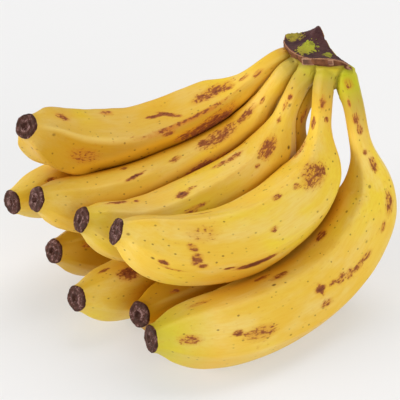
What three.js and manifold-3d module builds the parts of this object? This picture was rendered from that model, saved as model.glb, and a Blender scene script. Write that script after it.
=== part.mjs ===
// A hand of ripe bananas: nine fingers in two rows on one cut crown, lying on the backs of the lower row.
// Millimetres, +Z up. The fingers hang from the crown and sweep forward and to the left (-X, -Y) to their
// tips. Origin: on the table, under the middle of the hand.
import * as THREE from 'three';
import { mergeVertices } from 'three/addons/utils/BufferGeometryUtils.js';
import Module from 'manifold-3d';

// ---- Outline shared by all the fingers ----
const SIDES = 20; // facets round a finger, four to each of its five faces
const ROWS = 30; // facets along a finger
const STATIONS = 120; // places at which a finger's line is measured
const FACES = 5; // a banana is five-sided under its rounding
const FLATNESS = 0.3; // how far the five faces are flattened: 0 is round, 1 is a pentagon
const NECK_RADIUS = 5.4;
const OUTLINE = [
  // [share of the length from the crown, swelling from the neck radius (0) to the full girth (1)]
  [0, 0.05],
  [0.06, 0],
  [0.15, 0.01],
  [0.2, 0.14],
  [0.25, 0.43],
  [0.3, 0.69],
  [0.36, 0.87],
  [0.44, 0.96],
  [0.56, 1],
  [0.7, 0.985],
  [0.8, 0.915],
  [0.87, 0.78],
  [0.92, 0.58],
  [0.96, 0.31],
  [0.985, 0.15],
  [1, 0.11],
].map(([along, swelling]) => new THREE.Vector2(swelling, along));

// ---- Gaps ----
const CONTACT_GAP = 0.5; // between two fingers that press on each other
const SOCKET_GAP = 0.3; // between a neck and the crown that it grows from

// ---- Fingers: girth radius, turn of the five faces in degrees, and the line from crown to tip ----
const FINGERS = [
  {
    name: 'banana_upper_1',
    radius: 15.5,
    roll: 43,
    line: [
      [49, 63, 110.5], [41, 58, 113.5], [30, 57, 106], [9, 60, 86],
      [-33, 50, 71], [-66, 33, 79], [-84, 10, 100],
    ],
  },
  {
    name: 'banana_upper_2',
    radius: 16.5,
    roll: 38,
    line: [
      [52, 54, 112], [45, 50, 111.5], [37, 50, 101], [20, 52, 74],
      [-20, 38, 54], [-56, 18, 52], [-80, 2, 64],
    ],
  },
  {
    name: 'banana_upper_3',
    radius: 17,
    roll: 5,
    line: [
      [56, 45, 114], [51, 42, 110], [45, 42, 97], [32, 32, 68],
      [6, 20, 53], [-32, -3, 49], [-57, -16, 63],
    ],
  },
  {
    name: 'banana_upper_4',
    radius: 17.5,
    roll: -6,
    line: [
      [63, 40, 114], [61, 35, 110], [60, 32, 94], [56, 16, 68],
      [25, -14, 54], [-12, -34, 58], [-39, -42, 72],
    ],
  },
  {
    name: 'banana_lower_1',
    radius: 15.5,
    roll: 52,
    line: [
      [50, 70, 113], [42, 74, 103], [30, 77, 88], [6, 76, 62],
      [-34, 64, 50], [-70, 42, 48], [-94, 18, 53],
    ],
  },
  {
    name: 'banana_lower_2',
    radius: 16.5,
    roll: 23,
    line: [
      [56, 64, 113], [48, 69, 103], [37, 72, 86], [17, 70, 41],
      [-13, 61, 18], [-50, 37, 15], [-74, 15, 26],
    ],
  },
  {
    name: 'banana_lower_3',
    radius: 17,
    roll: 30,
    line: [
      [61, 58, 113], [53, 59, 103], [46, 58, 86], [32, 50, 41],
      [6, 32, 17], [-36, -4, 16], [-60, -27, 25],
    ],
  },
  {
    name: 'banana_lower_4',
    radius: 17,
    roll: 12,
    line: [
      [66, 50, 113], [56, 48, 103], [48, 45, 86], [41, 37, 46],
      [24, 15, 17.5], [-10, -19, 16], [-29, -41, 25],
    ],
  },
  {
    name: 'banana_lower_5',
    radius: 20,
    roll: 8,
    line: [
      [71, 38, 112], [75, 31, 103], [78, 27, 89], [84, 21, 54],
      [62, 0, 23.5], [18, -40, 18], [-23, -60, 24],
    ],
  },
];

// ---- Crown: the piece of stalk that the fingers grow from ----
// Four rails run from its back left end to its front right end. The cut face lies between the upper two.
const CROWN_STEPS = [16, 8, 8]; // facets along the crown, from its front to its rear, and up it
const CUT_DIP = 1.6; // hollow of the cut face
const SCAR_REACH = 1.6; // how far the scar left by the bract stands out along the front rim
const SCAR_START = 0.7; // where the scar starts, as a share of the front wall's height
const RAILS = {
  scar: [[42, 66, 120.5], [46, 50, 122], [53, 39, 123.5], [63, 35, 125], [70, 35, 123.5], [75, 36, 120]],
  cutEdge: [
    [43, 71, 121], [50, 69, 122.5], [56, 66, 126], [60, 63, 129.5],
    [61.5, 60, 126.5], [65, 53, 121.5], [70, 43, 120], [76, 37, 118.5],
  ],
  frontFoot: [[42, 67, 113], [46, 53, 111], [53, 41, 110], [63, 34, 109], [71, 31, 109], [77, 30, 109]],
  rearFoot: [[43, 79, 111], [53, 79, 108], [63, 71, 107], [71, 57, 107], [76, 45, 107], [78, 37, 109]],
};

const vector = ([x, y, z]) => new THREE.Vector3(x, y, z);
const smoothCurve = (points) => new THREE.CatmullRomCurve3(points.map(vector), false, 'centripetal');
const outline = new THREE.SplineCurve(OUTLINE);

function swellingAt(along) {
  const rows = outline.points;
  const next = Math.max(1, rows.findIndex((row) => row.y >= along));
  const share = (along - rows[next - 1].y) / (rows[next].y - rows[next - 1].y);
  return THREE.MathUtils.lerp(rows[next - 1].x, rows[next].x, share);
}

const girthRadius = (finger, swelling) => THREE.MathUtils.lerp(NECK_RADIUS, finger.radius, swelling);

function measureLine(finger) {
  const route = smoothCurve(finger.line);
  route.arcLengthDivisions = 400;
  const { normals, binormals } = route.computeFrenetFrames(STATIONS, false);
  const centres = route.getSpacedPoints(STATIONS);
  const radii = centres.map((_, i) => girthRadius(finger, swellingAt(i / STATIONS)));
  return { ...finger, route, normals, binormals, centres, radii };
}

const lines = FINGERS.map(measureLine);

// Radius of a rounded pentagon, as a share of the radius at its corners.
function facetedShare(turn) {
  const face = (2 * Math.PI) / FACES;
  const offMiddle = THREE.MathUtils.euclideanModulo(turn, face) - face / 2;
  return 1 - FLATNESS * (1 - Math.cos(face / 2) / Math.cos(offMiddle));
}

// Distance from a finger's line to a point, as a share of the finger's radius there.
function shareFrom(line, point) {
  return Math.min(...line.centres.map((centre, i) => centre.distanceTo(point) / line.radii[i]));
}

// Length of peel along a direction: the free length, or less where a neighbour presses on it. Two fingers
// that press on each other part where a point is at the same share of both their radii.
function pressedReach(self, place, direction, radius, free) {
  const isOwn = (reach) => {
    const point = place.clone().addScaledVector(direction, reach);
    return lines.every((other) => other === self || shareFrom(other, point) > reach / radius);
  };
  if (isOwn(free + CONTACT_GAP / 2)) return free;
  let inside = 0;
  let outside = free + CONTACT_GAP / 2;
  for (let halving = 0; halving < 10; halving++) {
    const reach = (inside + outside) / 2;
    if (isOwn(reach)) inside = reach;
    else outside = reach;
  }
  return inside - CONTACT_GAP / 2;
}

// A finger is its outline turned on the lathe, then bent along its line. An allowance makes it the tool that
// cuts its own socket.
function makeFinger(line, allowance = 0) {
  const rows = outline.getPoints(ROWS).map((row) => new THREE.Vector2(girthRadius(line, row.x), row.y));
  const profile = [new THREE.Vector2(0, 0), ...rows, new THREE.Vector2(0, 1)];
  const geometry = new THREE.LatheGeometry(profile, SIDES);
  const position = geometry.getAttribute('position');
  const vertex = new THREE.Vector3();
  const direction = new THREE.Vector3();
  const rootPull = line.route.getTangentAt(0).multiplyScalar(-allowance);
  for (let i = 0; i < position.count; i++) {
    vertex.fromBufferAttribute(position, i);
    const along = THREE.MathUtils.clamp(vertex.y, 0, 1);
    const radius = Math.hypot(vertex.x, vertex.z);
    const turn = Math.atan2(vertex.x, vertex.z);
    const rolled = turn + THREE.MathUtils.degToRad(line.roll);
    const station = Math.round(along * STATIONS);
    const place = line.route.getPointAt(along);
    direction.copy(line.normals[station]).multiplyScalar(Math.cos(rolled));
    direction.addScaledVector(line.binormals[station], Math.sin(rolled));
    vertex.copy(place);
    if (radius > 0) {
      const reach = pressedReach(line, place, direction, radius, radius * facetedShare(turn));
      vertex.addScaledVector(direction, reach + allowance);
    }
    if (along === 0) vertex.add(rootPull);
    position.setXYZ(i, vertex.x, vertex.y, Math.max(vertex.z, 0));
  }
  return geometry;
}

// ---- Crown: a box bent onto its four rails, with a socket cut for each neck ----
const wasm = await Module();
wasm.setup();

function toSolid(geometry) {
  const bare = geometry.clone();
  bare.deleteAttribute('normal');
  bare.deleteAttribute('uv');
  const merged = mergeVertices(bare, 1e-3);
  const vertProperties = Float32Array.from(merged.getAttribute('position').array);
  const triVerts = Uint32Array.from(merged.getIndex().array);
  return new wasm.Manifold(new wasm.Mesh({ numProp: 3, vertProperties, triVerts }));
}

function toGeometry(solid) {
  const mesh = solid.getMesh();
  const geometry = new THREE.BufferGeometry();
  geometry.setAttribute('position', new THREE.BufferAttribute(mesh.vertProperties, 3));
  geometry.setIndex(new THREE.BufferAttribute(mesh.triVerts, 1));
  geometry.computeVertexNormals();
  return geometry;
}

// The cuts can leave a loose sliver, which isn't kept.
function largestOf(solids) {
  return solids.reduce((largest, solid) => (solid.volume() > largest.volume() ? solid : largest));
}

function makeCrown() {
  const scarRail = smoothCurve(RAILS.scar);
  const cutRail = smoothCurve(RAILS.cutEdge);
  const frontRail = smoothCurve(RAILS.frontFoot);
  const rearRail = smoothCurve(RAILS.rearFoot);
  const geometry = new THREE.BoxGeometry(1, 1, 1, ...CROWN_STEPS);
  const position = geometry.getAttribute('position');
  for (let i = 0; i < position.count; i++) {
    const along = position.getX(i) + 0.5;
    const across = position.getY(i) + 0.5;
    const up = position.getZ(i) + 0.5;
    const front = frontRail.getPointAt(along).lerp(scarRail.getPointAt(along), up);
    const rear = rearRail.getPointAt(along).lerp(cutRail.getPointAt(along), up);
    const outward = front.clone().sub(rear).setZ(0).normalize();
    const scar = across === 0 && up > SCAR_START ? SCAR_REACH : 0;
    const vertex = front.lerp(rear, across).addScaledVector(outward, scar);
    const dip = up === 1 ? CUT_DIP * Math.sin(Math.PI * across) : 0;
    position.setXYZ(i, vertex.x, vertex.y, vertex.z - dip);
  }
  const sockets = lines.map((line) => toSolid(makeFinger(line, SOCKET_GAP)));
  const socketed = sockets.reduce((solid, socket) => solid.subtract(socket), toSolid(geometry));
  return largestOf(socketed.decompose());
}

// ---- The hand ----
function peel() {
  return new THREE.MeshStandardMaterial({ color: 0xe3bd3e, roughness: 0.5, metalness: 0 });
}

function cutStalk() {
  return new THREE.MeshStandardMaterial({ color: 0x5b4437, roughness: 0.8, metalness: 0 });
}

const hand = new THREE.Group();
const crown = new THREE.Mesh(toGeometry(makeCrown()), cutStalk());
crown.name = 'crown';
hand.add(crown);
for (const line of lines) {
  const finger = new THREE.Mesh(makeFinger(line), peel());
  finger.name = line.name;
  hand.add(finger);
}

const extent = new THREE.Box3().setFromObject(hand, true);
const middle = extent.getCenter(new THREE.Vector3());
hand.position.set(-middle.x, -middle.y, -extent.min.z);

export default hand;
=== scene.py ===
import math

import bmesh
import bpy
import numpy as np
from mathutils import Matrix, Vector, noise
from mathutils.bvhtree import BVHTree


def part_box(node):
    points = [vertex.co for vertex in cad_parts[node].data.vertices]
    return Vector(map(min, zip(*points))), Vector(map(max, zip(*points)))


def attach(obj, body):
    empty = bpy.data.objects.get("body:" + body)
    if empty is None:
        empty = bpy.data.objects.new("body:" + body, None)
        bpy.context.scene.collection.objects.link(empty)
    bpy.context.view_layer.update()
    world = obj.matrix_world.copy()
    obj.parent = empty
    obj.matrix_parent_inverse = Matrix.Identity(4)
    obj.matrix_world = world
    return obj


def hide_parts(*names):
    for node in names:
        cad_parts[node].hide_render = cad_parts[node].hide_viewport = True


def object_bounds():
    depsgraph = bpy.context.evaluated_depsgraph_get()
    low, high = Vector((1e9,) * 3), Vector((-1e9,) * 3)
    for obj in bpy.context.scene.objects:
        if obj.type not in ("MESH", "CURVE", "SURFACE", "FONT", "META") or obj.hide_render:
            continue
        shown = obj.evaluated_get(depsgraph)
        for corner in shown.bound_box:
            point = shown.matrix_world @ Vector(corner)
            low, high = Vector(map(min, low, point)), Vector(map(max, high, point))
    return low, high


# A hand of nine ripe, freckled bananas in two rows on one cut crown, lying on the backs of the lower row.
# Metres, +Z up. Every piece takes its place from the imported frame.
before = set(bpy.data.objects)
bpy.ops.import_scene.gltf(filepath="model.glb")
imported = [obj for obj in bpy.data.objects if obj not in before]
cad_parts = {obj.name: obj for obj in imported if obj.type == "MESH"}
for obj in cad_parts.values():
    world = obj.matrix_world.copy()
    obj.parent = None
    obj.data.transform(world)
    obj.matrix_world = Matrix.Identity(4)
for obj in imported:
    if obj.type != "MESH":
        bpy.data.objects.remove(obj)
cad_low, cad_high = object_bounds()


# ---- Fingers ----
# Each banana is one berry: a round neck in the crown, a five-faced body, and the dried scar of its flower.
# Its waxy peel is yellow and greener at the crown, with fine freckles, rubbed streaks and a browned ridge.
# It is made from the rings of vertices of its CAD node, refined as one smooth skin.
# Its colour also holds painted shade where fingers lie close, below a ridge, near the crown and on the lower
# row, and a painted highlight along the ridge near the tip.

MM = 0.001

RIPE = (0.79, 0.535, 0.068, 1)
DEEP = (0.74, 0.395, 0.020, 1)
PALE = (0.80, 0.60, 0.175, 1)
LEMON = (0.81, 0.63, 0.032, 1)
# Peel that is more ripe, and painted shade: the lower row, the face below a ridge and the necks are laid in
# it
GOLD = (0.46, 0.215, 0.003, 1)
TENDER = (0.48, 0.42, 0.03, 1)
LIME = (0.46, 0.47, 0.010, 1)
SAGE = (0.30, 0.28, 0.045, 1)
AMBER = (0.52, 0.16, 0.014, 1)
# Painted shade where other fingers lie close, partly the real amber of skin where they press
PRESSED_SHADE = (0.33, 0.11, 0.0, 1)
FRECKLE = (0.085, 0.026, 0.004, 1)
BRUISE = (0.20, 0.043, 0.019, 1)
DARK_BRUISE = (0.085, 0.017, 0.011, 1)
SCAB_BLACK = (0.026, 0.005, 0.005, 1)
SCAB_BROWN = (0.064, 0.016, 0.014, 1)
SCAB_WORN = (0.29, 0.17, 0.16, 1)
WAXY_SHEEN = (1.0, 0.74, 0.48, 1)
PEEL_GLOSS = 0.32
PEEL_RELIEF = 0.25 * MM
FINE_FRECKLES = {"Spacing": 2.3 * MM, "Size": 0.16, "Amount": 0.36}
COARSE_FRECKLES = {"Spacing": 6.5 * MM, "Size": 0.1, "Amount": 0.34}
LOOK = "Colour Color, Roughness Float, Height Float"  # what each group that describes a surface puts out


def wire(tree, kind, inputs=(), **settings):
    """Adds a node, feeds its inputs from sockets or plain values, and returns its outputs."""
    node = tree.nodes.new(kind)
    for name, value in settings.items():
        setattr(node, name, value)
    for key, value in dict(inputs).items():
        if isinstance(value, bpy.types.NodeSocket):
            tree.links.new(value, node.inputs[key])
        else:
            node.inputs[key].default_value = value
    return node.outputs


def follow(kind, inputs, **settings):
    """Adds a node to the tree that its inputs come from, and returns its outputs."""
    inputs = dict(inputs)
    tree = next(value.id_data for value in inputs.values() if isinstance(value, bpy.types.NodeSocket))
    return wire(tree, kind, inputs, **settings)


def send(values, inputs):
    """Links each value to the input of its name."""
    for name, value in values.items():
        value.id_data.links.new(value, inputs[name])


def maths(operation, *values, clamp=False):
    return follow("ShaderNodeMath", enumerate(values), operation=operation, use_clamp=clamp)[0]


def times(one, *others, clamp=False):
    for other in others:
        one = maths("MULTIPLY", one, other, clamp=clamp)
    return one


def plus(one, other):
    return maths("ADD", one, other)


def minus(one, other):
    return maths("SUBTRACT", one, other)


def scaled(value, factor, shift):
    return maths("MULTIPLY_ADD", value, factor, shift)


def vector_maths(operation, *values):
    return follow("ShaderNodeVectorMath", enumerate(values), operation=operation)[0]


def fade(value, start, end, low=0.0, high=1.0):
    """A smooth step: low up to start, high from end on."""
    inputs = {"Value": value, "From Min": start, "From Max": end, "To Min": low, "To Max": high}
    return follow("ShaderNodeMapRange", inputs, interpolation_type="SMOOTHSTEP")[0]


def between(share, one, other):
    return follow("ShaderNodeMix", {0: share, 2: one, 3: other})[0]


def layered(colour, *coats):
    """A colour under coats, each of them how far it covers and its own colour."""
    for share, coat in coats:
        colour = follow("ShaderNodeMix", {0: share, 6: colour, 7: coat}, data_type="RGBA")[2]
    return colour


def grain(place, size, detail=2.0, roughness=0.5):
    """Cloudy noise whose lumps are about size metres across."""
    inputs = {"Vector": place, "Scale": 1 / size, "Detail": detail, "Roughness": roughness}
    return follow("ShaderNodeTexNoise", inputs)[0]


def drawn_out(skin, share):
    """Skin coordinates on which a pattern is drawn out along the finger."""
    return vector_maths("MULTIPLY", skin, (share, 1.0, 1.0))


def new_group(name, inputs, outputs, kind="ShaderNodeTree"):
    """An empty node group, each socket given as its name and kind. Returns it with its two inner ends."""
    tree = bpy.data.node_groups.new(name, kind)
    for sockets, way in ((inputs, "INPUT"), (outputs, "OUTPUT")):
        for socket in sockets.split(", "):
            label, holds = socket.rsplit(" ", 1)
            tree.interface.new_socket(label, in_out=way, socket_type="NodeSocket" + holds)
    return tree, wire(tree, "NodeGroupInput"), tree.nodes.new("NodeGroupOutput").inputs


def place_group(group, inputs):
    return follow("ShaderNodeGroup", inputs, node_tree=group)


def attribute(tree, name, output="Fac"):
    return wire(tree, "ShaderNodeAttribute", attribute_name=name)[output]


def new_material(name):
    """A new material with its node tree, its shader's inputs, and the place on the object."""
    material = bpy.data.materials.new(name)
    material.use_nodes = True
    tree = material.node_tree
    return material, tree, tree.nodes["Principled BSDF"].inputs, wire(tree, "ShaderNodeTexCoord")["Object"]


def dress(shader, colour, roughness, height, strength, depth):
    """Gives a shader its colour, its roughness and its relief."""
    bump = follow("ShaderNodeBump", {"Height": height, "Strength": strength, "Distance": depth})[0]
    send({"Base Color": colour, "Roughness": roughness, "Normal": bump}, shader)


def freckle_group():
    """Small dots, each a little bean, thinned out by chance."""
    tree, given, result = new_group(
        "Freckles", "Place Vector, Spacing Float, Size Float, Amount Float", "Mask Float")
    scale = maths("DIVIDE", 1.0, given["Spacing"])
    dots = follow("ShaderNodeTexVoronoi", {"Vector": given["Place"], "Scale": scale})
    edge = times(given["Size"], 1.5)
    inside = fade(dots["Distance"], edge, times(edge, 0.4))
    chance = follow("ShaderNodeSeparateColor", {0: dots["Color"]})
    kept = maths("LESS_THAN", chance[0], given["Amount"])
    strength = scaled(chance[1], 0.6, 0.4)
    send({"Mask": times(inside, kept, strength)}, result)
    return tree


def streak_group():
    """Rubbed streaks along the finger, only where the skin was marked."""
    tree, given, result = new_group(
        "Rubbed streaks", "Skin Vector, Where Float", "Core Float, Dark Float, Halo Float")
    streak = grain(drawn_out(given["Skin"], 0.22), 0.8 * MM, 2.0, 0.6)
    blot = grain(given["Skin"], 2.4 * MM, 3.0, 0.6)
    pattern = scaled(blot, 0.45, times(streak, 0.55))
    level = plus(times(given["Where"], 0.5), pattern)
    send({
        "Core": fade(level, 0.88, 1.0), "Dark": fade(level, 0.72, 0.84),
        "Halo": fade(level, 0.62, 0.84),
    }, result)
    return tree


def peel_group(freckles, streaks):
    """Colour, roughness and relief of ripe peel."""
    tree, given, result = new_group(
        "Ripe peel",
        "Skin Vector, Place Vector, Green Float, Marked Float, Ridge Float, Pressed Float, Riper Float, "
        "Tip Float, Polished Float", LOOK)
    skin = given["Skin"]
    marked = given["Marked"]
    pressed = given["Pressed"]
    broad = grain(given["Place"], 42 * MM)
    long_skin = drawn_out(skin, 0.3)
    cloud = grain(long_skin, 9 * MM, 3.0)
    fibre = grain(drawn_out(skin, 0.12), 0.9 * MM)
    unripe = layered(SAGE, (fade(given["Green"], 0.35, 0.8), LIME))
    greened = times(given["Green"], scaled(cloud, 0.9, 0.65), clamp=True)
    ridge_noise = grain(long_skin, 3.5 * MM, 3.0)
    ridge_line = times(given["Ridge"], fade(ridge_noise, 0.42, 0.66, 0.1, 0.75))
    bean = {"Place": drawn_out(skin, 0.6)}
    fine = place_group(freckles, bean | FINE_FRECKLES)["Mask"]
    coarse = place_group(freckles, bean | COARSE_FRECKLES)["Mask"]
    dots = maths("MAXIMUM", times(fine, 0.75), coarse)
    rubbed = place_group(streaks, {"Skin": skin, "Where": marked})
    colour = layered(
        RIPE,
        (fade(broad, 0.42, 0.72, 0, 0.4), DEEP),
        (fade(broad, 0.5, 0.3, 0, 0.7), LEMON),
        (fade(cloud, 0.42, 0.7, 0, 0.75), PALE),
        (fade(fibre, 0.35, 0.7, 0, 0.25), DEEP),
        # more ripe peel, and painted shade on the lower row, below the ridge and near the crown
        (given["Riper"], GOLD),
        (given["Tip"], TENDER),
        # painted shade where other fingers lie close, partly real amber skin where they press
        (fade(pressed, 0.3, 0.8), DEEP),
        (greened, unripe),
        (ridge_line, AMBER),
        # painted highlight: a pale line along the ridge towards the tip
        (times(given["Polished"], 0.6), PALE),
        (fade(pressed, 0.55, 1.05), PRESSED_SHADE),
        (times(dots, 0.95), FRECKLE),
        (fade(marked, 0.12, 0.6, 0, 0.42), AMBER),
        (times(rubbed["Halo"], 0.6), AMBER),
        (times(rubbed["Dark"], 0.82), BRUISE),
        (times(rubbed["Core"], 0.8), DARK_BRUISE),
    )
    rough = scaled(rubbed["Dark"], 0.15, scaled(cloud, 0.18, 0.38))
    relief = scaled(fibre, 0.35, times(cloud, 0.8))
    relief = minus(minus(relief, times(rubbed["Dark"], 0.5)), times(dots, 0.3))
    send({"Colour": colour, "Roughness": rough, "Height": relief}, result)
    return tree


def scab_group():
    """Dried flower tissue, nearly black with brown in it, and paler where Worn is high."""
    tree, given, result = new_group("Dried scab", "Place Vector, Worn Float", LOOK)
    lumps = grain(given["Place"], 2.6 * MM, 3.0, 0.6)
    fine = grain(given["Place"], 0.8 * MM, 3.0, 0.65)
    level = plus(plus(lumps, fine), times(given["Worn"], 0.12))
    colour = layered(
        SCAB_BLACK, (fade(lumps, 0.35, 0.65), SCAB_BROWN), (fade(level, 1.08, 1.3, 0, 0.8), SCAB_WORN))
    rough = scaled(fine, 0.3, 0.45)
    send({"Colour": colour, "Roughness": rough, "Height": scaled(fine, 0.7, lumps)}, result)
    return tree


def peel_on(tree, place, *layers):
    """The look of the peel on a piece that has these of its layers."""
    inputs = {layer.title(): attribute(tree, layer) for layer in layers}
    inputs |= {"Skin": attribute(tree, "skin", "Vector"), "Place": place}
    return place_group(PEEL_LOOK, inputs)


def peel_material():
    """Ripe peel that ends in the blossom scab. Its patterns follow the finger by the skin attribute."""
    material, tree, shader, place = new_material("banana_peel")
    fresh = peel_on(tree, place, "green", "marked", "ridge", "pressed", "riper", "tip", "polished")
    dried = place_group(SCAB_LOOK, {"Place": place, "Worn": attribute(tree, "worn")})
    fringe = grain(place, 2.2 * MM, 3.0, 0.6)
    is_scab = fade(plus(attribute(tree, "scab"), times(fringe, 0.5)), 0.68, 0.8)
    colour = layered(fresh["Colour"], (is_scab, dried["Colour"]))
    rough = between(is_scab, fresh["Roughness"], dried["Roughness"])
    height = between(is_scab, fresh["Height"], times(dried["Height"], 2.5))
    dress(shader, colour, rough, height, 0.55, PEEL_RELIEF)
    shader["Specular IOR Level"].default_value = PEEL_GLOSS
    shader["Specular Tint"].default_value = WAXY_SHEEN
    return material


PEEL_LOOK = peel_group(freckle_group(), streak_group())
SCAB_LOOK = scab_group()
PEEL = peel_material()

SIDES = 20  # vertices round a CAD finger
FACES = 5
WELD = 0.01 * MM
SETTLING = 3  # passes that make the smoothed skin run through the CAD rings
TOUCHING = 0.6 * MM
NEARBY = 12 * MM
REFINEMENT = 3
DENT_DEPTH = 0.35 * MM
DENT_SIZE = 24 * MM
WRINKLE_DEPTH = 0.5 * MM
BODY_FROM = 0.14  # shares of the length: of the five-faced body, and of the tip from where it is tender
BODY_TO = 0.94
TENDER_FROM = 0.87
UNMARKED = 0.1
RIDGE_MARK = 0.58
SMEAR = 1.25  # how much longer than given a mark is drawn
# painted shade near the crown
NECK_SHADE = 0.45
SCAB_PROFILE = [
    # [share of the end's radius, rise beyond the end in mm, how worn it is]
    (1.0, 0.4, 0.0), (0.92, 0.95, 0.3), (0.8, 1.1, 0.1), (0.66, 0.7, 0.0), (0.52, 1.0, 0.4),
    (0.42, 1.35, 1.0), (0.3, 1.1, 0.8), (0.18, 0.2, 0.0),
]


def walk(loose):
    """Puts the vertices of one ring in order, each next to its neighbours."""
    path = [min(loose, key=lambda v: v.index)]
    loose = set(loose) - {path[0]}
    while loose:
        others = (edge.other_vert(path[-1]) for edge in path[-1].link_edges)
        path.append(min((v for v in others if v in loose), key=lambda v: v.index))
        loose.remove(path[-1])
    return path


def lined_up(ring, last):
    """The ring turned, and reversed if need be, so that each vertex follows on from the last ring's."""
    ways = [np.roll(way, turn, axis=0) for way in (ring, ring[::-1]) for turn in range(SIDES)]
    return min(ways, key=lambda way: np.sum((way - last) ** 2))


def welded(node_name):
    """The CAD node as a bmesh whose triangles share their corners."""
    shape = bmesh.new()
    shape.from_mesh(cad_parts[node_name].data)
    bmesh.ops.remove_doubles(shape, verts=shape.verts, dist=WELD)
    shape.verts.index_update()
    shape.normal_update()
    return shape


def rings_of(node_name):
    """The vertices of a CAD finger as rings x sides x 3, from the end in the crown to the blossom end."""
    skin = welded(node_name)
    crown_low, crown_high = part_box("crown")
    crown_middle = (crown_low + crown_high) / 2
    ends = [v for v in skin.verts if len(v.link_edges) == SIDES]
    root = min(ends, key=lambda v: (v.co - crown_middle).length)
    seen = {root}
    layer = [root]
    rings = []
    while True:
        ahead = {e.other_vert(v) for v in layer for e in v.link_edges} - seen
        if len(ahead) < SIDES:
            break
        layer = walk(ahead)
        seen |= ahead
        ring = np.array([v.co for v in layer])
        rings.append(lined_up(ring, rings[-1]) if rings else ring)
    skin.free()
    rings = np.array(rings)
    middle = rings[len(rings) // 2]
    forward = rings[len(rings) // 2 + 1].mean(0) - middle.mean(0)
    turning = np.cross(middle[0] - middle.mean(0), middle[1] - middle.mean(0)) @ forward
    return rings if turning > 0 else rings[:, ::-1]


def smoothed(rings):
    """Where a smooth skin over the rings would lie."""
    round_about = (np.roll(rings, 1, 1) + 4 * rings + np.roll(rings, -1, 1)) / 6
    lengthwise = round_about.copy()
    lengthwise[1:-1] = (round_about[:-2] + 4 * round_about[1:-1] + round_about[2:]) / 6
    return lengthwise


def settled(rings):
    """The control rings whose smooth skin runs through the given ones."""
    control = rings.copy()
    for _ in range(SETTLING):
        control += rings - smoothed(control)
    return control


def dot(ones, others):
    return np.einsum("ij,ij->i", ones, others)


class Line:
    """A finger's middle line, with an upright and a sideways direction carried along it."""

    def __init__(self, rings):
        self.centres = rings.mean(1)
        steps = np.linalg.norm(np.diff(self.centres, axis=0), axis=1)
        self.run = np.concatenate([[0], np.cumsum(steps)])
        self.length = self.run[-1]
        self.forward = np.gradient(self.centres, axis=0)
        self.forward /= np.linalg.norm(self.forward, axis=1)[:, None]
        self.up = np.zeros_like(self.centres)
        middle = len(rings) // 2
        self.up[middle] = (0, 0, 1)
        self.square_up(middle, middle)
        for ring in range(middle + 1, len(rings)):
            self.square_up(ring, ring - 1)
        for ring in range(middle - 1, -1, -1):
            self.square_up(ring, ring + 1)
        self.side = np.cross(self.forward, self.up)

    def square_up(self, ring, near):
        up = self.up[near] - (self.up[near] @ self.forward[ring]) * self.forward[ring]
        self.up[ring] = up / np.linalg.norm(up)

    def lay(self, points):
        """For points near the line: length along it, radius from it, and angle round it."""
        ring = np.linalg.norm(points[:, None] - self.centres[None], axis=2).argmin(1)
        arms = points - self.centres[ring]
        ahead = dot(arms, self.forward[ring])
        arms = arms - ahead[:, None] * self.forward[ring]
        across = dot(arms, self.side[ring])
        above = dot(arms, self.up[ring])
        return self.run[ring] + ahead, np.hypot(across, above), np.arctan2(across, above)


def straightened(along, radius, clock, number):
    """Coordinates on a finger as if it were straight, which the peel's patterns follow."""
    return np.stack([along + number * 0.5, radius * np.cos(clock), radius * np.sin(clock)], -1)


def crest_at(clock, turn):
    """How near an angle round the finger is to one of its five ridges, from 0 in a face's middle to 1."""
    faces_on = (clock - turn) * FACES / (2 * math.pi)
    return 1 - 2 * np.abs(faces_on - np.round(faces_on))


def gaps_round(rings, own_name):
    """Distance from each vertex of the rings to the nearest other finger."""
    gaps = np.full(rings.shape[:2], 2 * NEARBY)
    for name, surface in SURFACES.items():
        if name == own_name:
            continue
        for place in np.ndindex(gaps.shape):
            distance = surface.find_nearest(Vector(rings[place]), gaps[place])[3]
            if distance is not None:
                gaps[place] = distance
    return gaps


def blossom_end(rings):
    """Rings of the domed scab that closes the finger, and the vertex at its middle."""
    rim = rings[-1]
    centre = rim.mean(0)
    outward = centre - rings[-2].mean(0)
    outward /= np.linalg.norm(outward)
    scab = [centre + (rim - centre) * share + outward * rise * MM for share, rise, _ in SCAB_PROFILE]
    return np.array(scab), centre


def read(mesh, name, width=1):
    values = np.zeros(len(mesh.vertices) * width, np.float32)
    mesh.attributes[name].data.foreach_get("value" if width == 1 else "vector", values)
    return values if width == 1 else values.reshape(-1, width)


def write(mesh, name, values):
    """Adds a layer that holds a number or a vector for each vertex."""
    kind, label = ("FLOAT", "value") if np.ndim(values) == 1 else ("FLOAT_VECTOR", "vector")
    layer = mesh.attributes.new(name, kind, "POINT")
    layer.data.foreach_set(label, np.asarray(values, np.float32).reshape(-1))


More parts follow.
